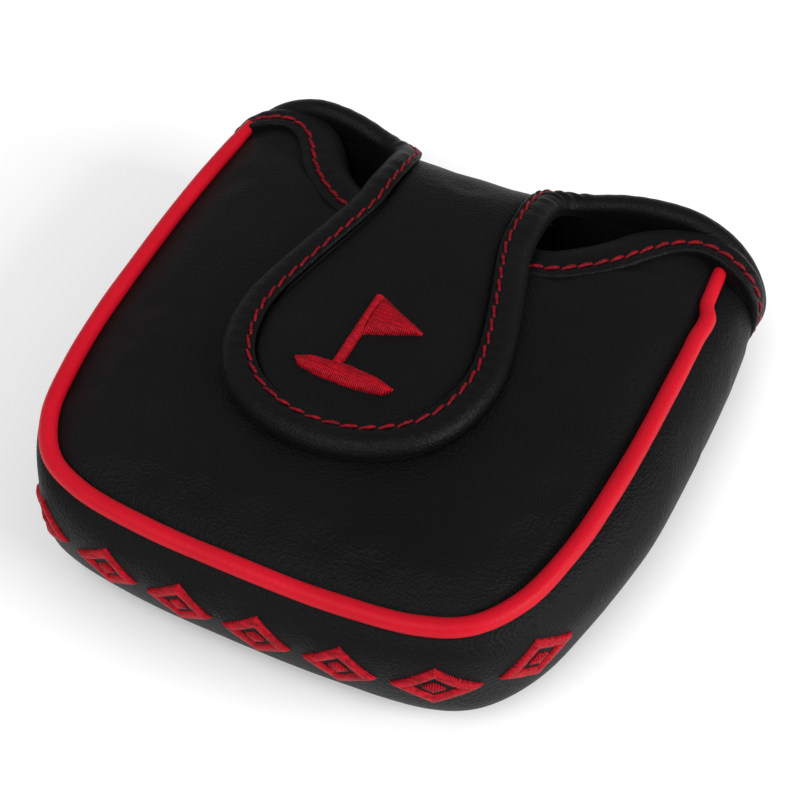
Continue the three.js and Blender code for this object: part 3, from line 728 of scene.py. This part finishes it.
def t_edge():
    """The T panel's outer edge, left to right, with the way it faces."""
    wall = [(x, y, z, face) for x, y, z, face in WALL_EDGE]
    tongue = []
    for x, y in TONGUE:
        p = tongue_point(0, y, FLAP_THICK / 2)
        tongue.append((x, p[1], p[2], 90))
    half = wall + tongue
    return catmull(lopsided(mirrored(half)), 900)


edge_line = t_edge()
edge_p = edge_line[:, :3]
edge_t = tangents(edge_p)
edge_face = np.stack([np.zeros(len(edge_p)), np.cos(np.radians(edge_line[:, 3])),
                      np.sin(np.radians(edge_line[:, 3]))], 1)
edge_side = unit(np.cross(edge_face, edge_t))
if edge_side[len(edge_p) // 2] @ np.array((0, 1, 0)) < 0:
    edge_side = -edge_side
edge_up = unit(np.cross(edge_side, edge_t))
edge_up *= np.sign((edge_up * edge_face).sum(1))[:, None]

FLAP_SECTION = binding_section(6.7, 8.0, FLAP_THICK, 5.4, 0.75)
WALL_SECTION = binding_section(6.7, 11.5, FLAP_THICK + 0.4, 5.4, 0.75)
T_STITCH = 5.4


def t_bend(piece):
    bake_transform(piece)


def build_t_binding():
    on_wall = smooth(75, 20, edge_line[:, 3])[:, None, None]
    sections = FLAP_SECTION[None] * (1 - on_wall) + WALL_SECTION[None] * on_wall
    long = np.r_[0, np.cumsum(np.linalg.norm(np.diff(edge_p, axis=0), axis=1))]
    right_corner = long[np.argmin(np.abs(edge_line[:, 3] - 40) + (edge_p[:, 0] < 0) * 999)]
    left_corner = long[np.argmin(np.abs(edge_line[:, 3] - 40) + (edge_p[:, 0] > 0) * 999)]
    # (place along the edge, reach, spacing, depth) of the pleats at the neck's two corners
    pleats = [(right_corner - 3.5, 4.2, 2.1, 0.3), (left_corner, 3.0, 2.6, 0.1)]
    piece = sweep_binding("wall_and_flap_binding", edge_p, edge_side, edge_up, sections,
                          T_STITCH, 4, pleats=pleats)
    dress(piece, EDGE_BLACK, None,
          ["flap_binding", "rear_binding_left", "rear_binding_right"])
    t_bend(piece)
    line = edge_p + edge_side * T_STITCH + edge_up * (FLAP_THICK / 2 + 0.42)
    row = stitch_row("flap_stitches", line[6:-6], edge_up[6:-6], radius=0.32)
    dress(row, SEAM_THREAD, None, ["flap_topstitch"])
    t_bend(row)


def wall_face(x, z, depth):
    """Outer face of the wall at height z, blending from the neck's lean to upright sides."""
    across = abs(x)
    upright = 60.2 - (0.011 if z < 15 else 0.002) * (z - 15) ** 2
    rows = spine[:330]
    neck_y = np.interp(z, rows[:, 2], rows[:, 1])
    share = smooth(13, 30, across)
    y = neck_y + (upright - neck_y) * share - 1.2 * smooth(40, 65, across)
    return np.array([x, y - depth, z])


def wall_quads(index, rows, columns):
    return [(index[r, c], index[r, c + 1], index[r + 1, c + 1], index[r + 1, c])
            for r in range(rows - 1) for c in range(columns - 1)]


def add_tongue(verts, faces, previous, strips, mid):
    """Carry the panel on from the wall's top row: a row of points for each (half width, point)."""
    for half, p in strips:
        row = []
        for a in mid:
            row.append(len(verts))
            verts.append((a * half, p[1], p[2]))
        for c in range(len(mid) - 1):
            faces.append((previous[c], previous[c + 1], row[c + 1], row[c]))
        previous = row


def build_t_skin():
    lip = edge_p + edge_side * SKIN_INSET + edge_up * (FLAP_THICK / 2)
    middle = len(lip) // 2
    right = lip[middle:]
    # half width of the panel inside the binding, by plan y on the flap
    flap_part = right[(right[:, 1] < 44)]
    ys = flap_part[:, 1]
    xs = flap_part[:, 0]
    ramp_y = ys[np.argsort(ys)]
    ramp_x = xs[np.argsort(ys)]
    neck_half = float(np.interp(NECK_Y, ramp_y, ramp_x))
    # the wall's own limits inside the binding, by x
    wall_part = right[(right[:, 1] > 50)]
    columns_mid = 13
    mid = np.linspace(-1, 1, columns_mid)
    wing = np.linspace(neck_half, WING_HALF, 25)[1:]
    columns = np.r_[-wing[::-1], mid * neck_half, wing]
    rows_wall = 16
    verts, index = [], {}
    upper = wall_part[wall_part[:, 2] > 15]
    uo = np.argsort(upper[:, 0])
    for c, x in enumerate(columns):
        ax = abs(x)
        high = float(np.interp(ax, upper[uo, 0], upper[uo, 2]))
        low = 2.4 + 6.0 * float(smooth(51, WING_HALF, ax))
        if ax <= neck_half + 0.01:
            high = WALL_TOP_Z
        else:
            high = min(high, 28.4)
        high = max(high, low + 1.0)
        for r in range(rows_wall):
            z = low + (high - low) * r / (rows_wall - 1)
            index[r, c] = len(verts)
            verts.append(wall_face(x, z, SKIN_DEPTH))
    faces = wall_quads(index, rows_wall, len(columns))
    # the tongue, row by row along the spine from the wall's top
    start = int(np.argmax(spine[:, 2] > WALL_TOP_Z))
    tip_y = lip[middle, 1]
    keep = [k for k in range(start, len(spine)) if spine[k, 1] > tip_y + 0.25]
    picks = np.unique(np.r_[np.linspace(keep[0], keep[-1] - 30, 58).astype(int)[1:],
                            np.linspace(keep[-1] - 30, keep[-1], 14).astype(int)[1:]])
    first_mid = len(wing)
    previous = [index[rows_wall - 1, first_mid + k] for k in range(columns_mid)]
    strips = []
    for k in picks:
        y = spine[k, 1]
        if y > NECK_Y:
            half = neck_half + 1.2 * smooth(NECK_Y, 49, y) + 4.5 * smooth(47, 55, y)
        else:
            half = float(np.interp(y, ramp_y, ramp_x))
        strips.append((max(half, 0.6), spine[k] - spine_n[k] * SKIN_DEPTH))
    add_tongue(verts, faces, previous, strips, mid)
    piece = face_outwards(new_mesh("wall_and_flap_skin", np.array(verts), faces))
    if piece.data.polygons[rows_wall * 6].normal.y < 0:
        piece.data.flip_normals()
    bm = bmesh.new()
    bm.from_mesh(piece.data)
    pinned = [v.index for v in bm.verts if v.is_boundary]
    bm.free()
    puff(piece, pinned, pressure=0.4, grow=0.003, cap=0.45, inward=0.2, bending=3)
    finish_shell(piece, LEATHER, 1)
    SEWN_ON["flap"] = surface_of(piece)
    dress(piece, BLACK, None, ["rear_wall_panel", "flap_panel"])
    t_bend(piece)


# ---------------------------------------------------------------- embroidery


def fill_rows(outline, gap, vertical):
    """Pairs of end points of parallel threads that fill an outline."""
    pts = np.array(outline, float)
    if vertical:
        pts = pts[:, ::-1]
    rows = []
    for level in np.arange(pts[:, 1].min() + gap / 2, pts[:, 1].max(), gap):
        cuts = []
        for a, b in zip(pts, np.roll(pts, -1, axis=0)):
            if (a[1] - level) * (b[1] - level) < 0:
                cuts.append(a[0] + (b[0] - a[0]) * (level - a[1]) / (b[1] - a[1]))
        cuts.sort()
        for left, right in zip(cuts[::2], cuts[1::2]):
            ends = ((left, level), (right, level))
            rows.append(tuple(e[::-1] for e in ends) if vertical else ends)
    return rows


def threads(name, rows, place, radius=0.25, lift=0.35, steps=7):
    """Satin threads, one to a row; place(x, y) gives a point on the leather and its normal."""
    verts, faces = [], []
    sides = 6
    for k, (a, b) in enumerate(rows):
        a, b = np.array(a), np.array(b)
        wander = 0.12 * noise.noise(Vector((k * 1.7, 3.1, 0.2)))
        long = max(np.linalg.norm(b - a), 0.05)
        direction = (b - a) / long
        a = a - direction * (0.12 + wander)
        b = b + direction * (0.12 - wander)
        across = np.array([-direction[1], direction[0]])
        base = len(verts)
        for i in range(steps):
            t = i / (steps - 1)
            centre = a + (b - a) * t
            p, normal = place(*centre)
            side = unit(place(*(centre + across * 0.4))[0] - p)
            dome = (1 - (2 * t - 1) ** 2) ** 0.5 if 0 < t < 1 else 0.0
            height = lift * min(1.0, long / 2.5) * dome + radius * (0.8 * dome - 0.2)
            r = radius * (0.55 + 0.45 * dome)
            for q in range(sides):
                angle = 2 * math.pi * q / sides
                verts.append(p + normal * (height + math.sin(angle) * r)
                             + side * math.cos(angle) * r)
        faces += grid_faces(steps, sides, wrap=True, base=base)
        faces.append(tuple(base + q for q in range(sides))[::-1])
        faces.append(tuple(base + (steps - 1) * sides + q for q in range(sides)))
    return face_outwards(new_mesh(name, np.array(verts), faces))


def build_emblem():
    def place(x, y):
        up = np.array((0.0, 0.0, 1.0))
        return laid_on(SEWN_ON["flap"], tongue_point(x, EMBLEM_Y + y), up), up
    rows = (fill_rows(FLAG_MOUND, 0.4, True) + fill_rows(FLAG_POLE, 0.4, False)
            + fill_rows(FLAG_CLOTH, 0.4, True))
    piece = threads("flap_flag_embroidery", rows, place, radius=0.23, lift=0.85)
    dress(piece, SATIN, "flap", ["flap_emblem"])


def border_rows(outline, share, gap):
    """Threads across a border between an outline and the same outline drawn in to a share."""
    rows = []
    for a, b in zip(outline, outline[1:] + outline[:1]):
        a, b = np.array(a, float), np.array(b, float)
        for t in np.arange(0, 1, gap / np.linalg.norm(b - a)):
            p = a + (b - a) * t
            rows.append((p, p * share))
    return rows


def build_motifs():
    half_w, half_h, drop, pitch, shift = 6.6, 4.9, 11.6, 15.6, 6.5
    outline = [(half_w, 0), (0, half_h), (-half_w, 0), (0, -half_h)]
    heart = [(x * 0.27, y * 0.27) for x, y in outline]
    rows = border_rows(outline, 0.56, 0.40) + fill_rows(heart, 0.38, True)
    for k in range(7):
        along = RAIL_LONG / 2 + shift + (k - 3) * pitch

        def place(x, y, along=along):
            base = band_point(along + x, drop + y)
            out = unit(band_point(along + x, drop + y, 1.0) - base)
            return laid_on(SEWN_ON["band"], base, out), out
        piece = threads(f"front_motif_satin_{k + 1}", rows, place, lift=0.35)
        dress(piece, SATIN, "pouch", [f"front_motif_{k + 1}"])


# ---------------------------------------------------------------- bottom and inside


def rail_loop(inset, rear_y, rear_half, count):
    """Closed plan loop: the seam line drawn in by inset, and a straight rear edge."""
    line = (rail - rail_out * inset)[:, :2]
    line = line[line[:, 1] < rear_y - 6]
    rear = [(rear_half, rear_y - 3.5), (rear_half - 3, rear_y), (0, rear_y),
            (-rear_half + 3, rear_y), (-rear_half, rear_y - 3.5)]
    loop = np.vstack([line, rear, line[:1]])
    return resample(np.c_[loop, np.zeros(len(loop))], count + 1)[:-1]


def build_bottom():
    count, rings = 180, 12
    outer = rail_loop(8.7, 56.4, 48.5, count)
    verts = []
    for r in range(rings):
        share = 1 - r / rings
        ring = outer * (share, share, 0)
        edge = 1.0 * math.exp(-(1 - share) * 40)
        ring[:, 2] = 0.02 + edge + 0.12 * (1 + lumps(ring * 1.0, 14, 2)) * smooth(0, 0.4, 1 - share)
        verts.append(ring)
    verts = np.vstack(verts + [np.array([[0, 0, 0.12]])])
    faces = []
    for r in range(rings - 1):
        for i in range(count):
            a, b = r * count + i, r * count + (i + 1) % count
            faces.append((a, b, b + count, a + count))
    for i in range(count):
        last = (rings - 1) * count
        faces.append((last + i, last + (i + 1) % count, rings * count))
    piece = new_mesh("bottom_skin", verts, faces)
    if piece.data.polygons[0].normal.z > 0:
        piece.data.flip_normals()
    finish_shell(piece, LEATHER, 1)
    dress(piece, BLACK, "pouch", ["bottom_panel"])


def build_lining():
    """Plush inside of the pouch, as side, bottom and top lining sheets under the foam."""
    rows, columns = 150, 34
    s = np.linspace(8, RAIL_LONG - 8, rows)
    grid = np.zeros((rows, columns, 3))
    for i, at in enumerate(s):
        p, n = on_rail(at)
        curve = band_curve(p[0], p[1])
        t = unit(np.gradient(curve, axis=0))
        inner = curve + np.stack([t[:, 1], -t[:, 0]], 1) * 4.4
        inner = inner[(inner[:, 1] > 5.6) & (inner[:, 1] < 24.4)]
        inner = resample(np.c_[inner, np.zeros(len(inner))], columns)[:, :2]
        for j in range(columns):
            grid[i, j] = (p[0] + n[0] * inner[j, 0], p[1] + n[1] * inner[j, 0], inner[j, 1])
    grid += rail_like_normal(grid) * (0.25 * lumps(grid, 3.0, 6))[..., None]
    piece = face_outwards(new_mesh("side_lining_plush", grid, grid_faces(rows, columns)))
    finish_shell(piece, 0.8, 0)
    dress(piece, PLUSH, "pouch", ["side_band_lining"])
    for name, node, z, inset, rear in (("bottom_lining_plush", "bottom_lining", 5.0, 11.0, 51.0),
                                       ("top_lining_plush", "top_lining", 25.0, 6.0, 37.5)):
        count, rings = 120, 16
        outer = rail_loop(inset, rear, 57 - inset, count)
        verts = [outer * (1 - r / rings, 1 - r / rings, 0) + (0, 0, z) for r in range(rings)]
        verts = np.vstack(verts + [np.array([[0, 0, z]])])
        verts[:, 2] += 0.25 * lumps(verts, 3.0, 7)
        faces = []
        for r in range(rings - 1):
            for i in range(count):
                a, b = r * count + i, r * count + (i + 1) % count
                faces.append((a, b, b + count, a + count))
        for i in range(count):
            faces.append(((rings - 1) * count + i, (rings - 1) * count + (i + 1) % count,
                          rings * count))
        sheet = new_mesh(name, verts, faces)
        finish_shell(sheet, 0.8, 0, offset=0.0)
        dress(sheet, PLUSH, "pouch", [node])


def rail_like_normal(grid):
    du = np.gradient(grid, axis=0)
    dv = np.gradient(grid, axis=1)
    return unit(np.cross(du, dv))


def build_t_lining():
    """Inner face of the wall and underside of the flap, one soft sheet."""
    columns_mid = 13
    neck_half = 12.0
    mid = np.linspace(-1, 1, columns_mid)
    wing = np.linspace(neck_half, 58.0, 20)[1:]
    columns = np.r_[-wing[::-1], mid * neck_half, wing]
    rows_wall = 14
    verts, index = [], {}
    for c, x in enumerate(columns):
        ax = abs(x)
        low = 3.2 + 5.0 * float(smooth(46, 58, ax))
        high = 27.2 - 4.5 * float(smooth(46, 58, ax)) ** 2
        for r in range(rows_wall):
            z = low + (high - low) * r / (rows_wall - 1)
            index[r, c] = len(verts)
            verts.append(wall_face(x, z, LINING_DEPTH))
    faces = wall_quads(index, rows_wall, len(columns))
    start = int(np.argmax(spine[:, 2] > 28.0))
    lip = edge_p + edge_side * 7.2
    middle = len(lip) // 2
    right = lip[middle:]
    part = right[right[:, 1] < 44]
    order = np.argsort(part[:, 1])
    keep = [k for k in range(start, len(spine)) if spine[k, 1] > lip[middle, 1] + 0.4]
    picks = np.linspace(keep[0], keep[-1], 60).astype(int)[1:]
    first_mid = len(wing)
    previous = [index[rows_wall - 1, first_mid + k] for k in range(columns_mid)]
    strips = []
    for k in picks:
        y = spine[k, 1]
        half = neck_half if y > NECK_Y else float(np.interp(y, part[order, 1], part[order, 0]))
        strips.append((max(half, 0.6), spine[k] - spine_n[k] * (FLAP_THICK - 0.1)))
    add_tongue(verts, faces, previous, strips, mid)
    piece = face_outwards(new_mesh("wall_and_flap_lining", np.array(verts), faces))
    if piece.data.polygons[rows_wall * 6].normal.y > 0:
        piece.data.flip_normals()
    finish_shell(piece, 0.5, 1)
    dress(piece, PLUSH, None, ["rear_wall_lining", "flap_lining"])
    t_bend(piece)


def dress_cad_nodes():
    for name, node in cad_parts.items():
        if name.endswith("_foam"):
            material = FOAM
        elif name.endswith("_magnet"):
            material = STEEL
        elif name == "piping_cord":
            material = CORE
        else:
            continue
        node.data.materials.clear()
        node.data.materials.append(material)


# ---------------------------------------------------------------- camera, light, floor


CAMERA_AZIMUTH, CAMERA_ELEVATION = math.radians(25.21), math.radians(49.52)
CAMERA_DISTANCE = 0.266
CAMERA_TARGET = Vector((0.01021, -0.00905, 0.0285))
LENS = 62.19                   # on a 36 mm wide sensor
FLOOR_REACH = 3.0
SKY_STRENGTH = 0.45


def build_stage():
    scene = bpy.context.scene
    camera = bpy.data.cameras.new("camera")
    camera.sensor_width = 36
    camera.lens = LENS
    camera.clip_start = 0.01
    viewer = bpy.data.objects.new("camera", camera)
    scene.collection.objects.link(viewer)
    level = math.cos(CAMERA_ELEVATION)
    back = Vector((math.sin(CAMERA_AZIMUTH) * level, -math.cos(CAMERA_AZIMUTH) * level,
                   math.sin(CAMERA_ELEVATION)))
    viewer.location = CAMERA_TARGET + back * CAMERA_DISTANCE
    viewer.rotation_euler = (-back).to_track_quat("-Z", "Y").to_euler()
    scene.camera = viewer

    floor = bpy.data.meshes.new("floor")
    corners = [(x * FLOOR_REACH, y * FLOOR_REACH, 0)
               for x, y in ((-1, -1), (1, -1), (1, 1), (-1, 1))]
    floor.from_pydata(corners, [], [(0, 1, 2, 3)])
    ground = bpy.data.objects.new("floor", floor)
    ground.location.z = -0.0001
    scene.collection.objects.link(ground)
    paint = Paint("pale_floor")
    floor.materials.append(paint.set(Base_Color=(0.97, 0.97, 0.97, 1), Roughness=0.9,
                                     Specular_IOR_Level=0.1))

    world = bpy.data.worlds.new("studio")
    world.use_nodes = True
    world.node_tree.nodes["Background"].inputs["Color"].default_value = (1, 1, 1, 1)
    world.node_tree.nodes["Background"].inputs["Strength"].default_value = SKY_STRENGTH
    scene.world = world

    def area(name, location, size, power):
        light = bpy.data.lights.new(name, "AREA")
        light.shape = "RECTANGLE"
        light.size, light.size_y = size
        light.energy = power
        lamp = bpy.data.objects.new(name, light)
        lamp.location = location
        aim = Vector((0, 0, 0.02)) - Vector(location)
        lamp.rotation_euler = aim.to_track_quat("-Z", "Y").to_euler()
        scene.collection.objects.link(lamp)

    area("key_right", (0.85, -0.05, 0.42), (0.5, 0.4), 6.5)
    sun = bpy.data.lights.new("front_soft", "SUN")
    sun.energy = 1.7
    sun.angle = math.radians(50)
    lamp = bpy.data.objects.new("front_soft", sun)
    lamp.rotation_euler = Vector((0.1, 0.65, -0.95)).to_track_quat("-Z", "Y").to_euler()
    scene.collection.objects.link(lamp)
    scene.view_settings.view_transform = "Standard"


# ---------------------------------------------------------------- assembly

build_stage()
build_band()
build_top()
build_mouth()
build_piping()
build_t_binding()
build_t_skin()
build_emblem()
build_motifs()
build_bottom()
build_lining()
build_t_lining()
dress_cad_nodes()
